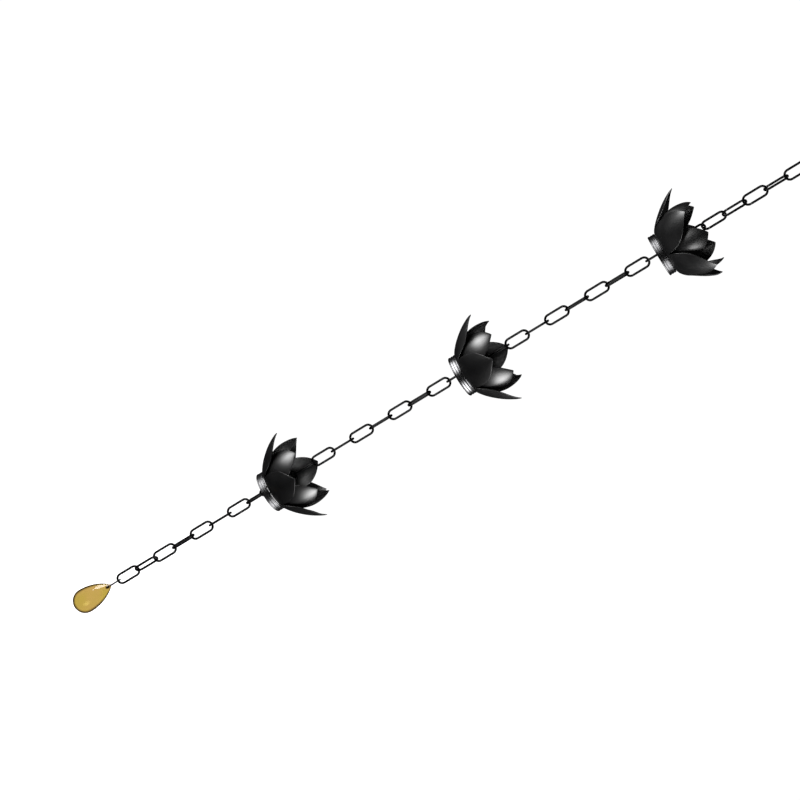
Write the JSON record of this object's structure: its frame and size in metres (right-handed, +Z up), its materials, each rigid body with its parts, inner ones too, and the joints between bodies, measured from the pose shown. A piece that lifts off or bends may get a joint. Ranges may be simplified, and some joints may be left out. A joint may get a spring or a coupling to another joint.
{
  "type": "rain chain",
  "caption": "Black rain chain with three lotus cups on oval wire links and an amber glass drop at its foot.",
  "frame": {"origin": "inside of the top link's crown, where the gutter hook carries the chain", "axes": "+Z up along the hanging chain, -Y the front, +X to the right seen from the front"},
  "size_m": [0.1271, 0.1284, 1.0978],
  "materials": {
    "black_wire": "satin black coating",
    "black_petal": "satin black coating",
    "collar_metal": "glossy gunmetal coating",
    "amber_glass": "polished clear amber"
  },
  "bodies": {
    "root": {"link_01": "black_wire", "link_02": "black_wire", "link_03": "black_wire", "link_04": "black_wire", "link_05": "black_wire", "link_06": "black_wire", "link_07": "black_wire", "link_08": "black_wire", "link_09": "black_wire", "link_10": "black_wire", "link_11": "black_wire", "link_12": "black_wire", "link_13": "black_wire", "link_14": "black_wire", "link_15": "black_wire", "link_16": "black_wire", "link_17": "black_wire", "link_18": "black_wire", "link_19": "black_wire", "link_20": "black_wire", "link_21": "black_wire", "link_22": "black_wire", "link_23": "black_wire", "link_24": "black_wire", "link_25": "black_wire", "link_26": "black_wire", "link_27": "black_wire", "link_28": "black_wire", "link_29": "black_wire", "link_30": "black_wire", "link_31": "black_wire", "link_32": "black_wire", "link_33": "black_wire", "link_34": "black_wire", "link_35": "black_wire", "link_36": "black_wire", "drop_ring": "black_wire", "drop": "amber_glass", "top_collar": "collar_metal", "top_outer_petals": "black_petal", "top_inner_petals": "black_petal", "top_bail": "black_wire", "middle_collar": "collar_metal", "middle_outer_petals": "black_petal", "middle_inner_petals": "black_petal", "middle_bail": "black_wire", "bottom_collar": "collar_metal", "bottom_outer_petals": "black_petal", "bottom_inner_petals": "black_petal", "bottom_bail": "black_wire"}
  },
  "joints": []
}
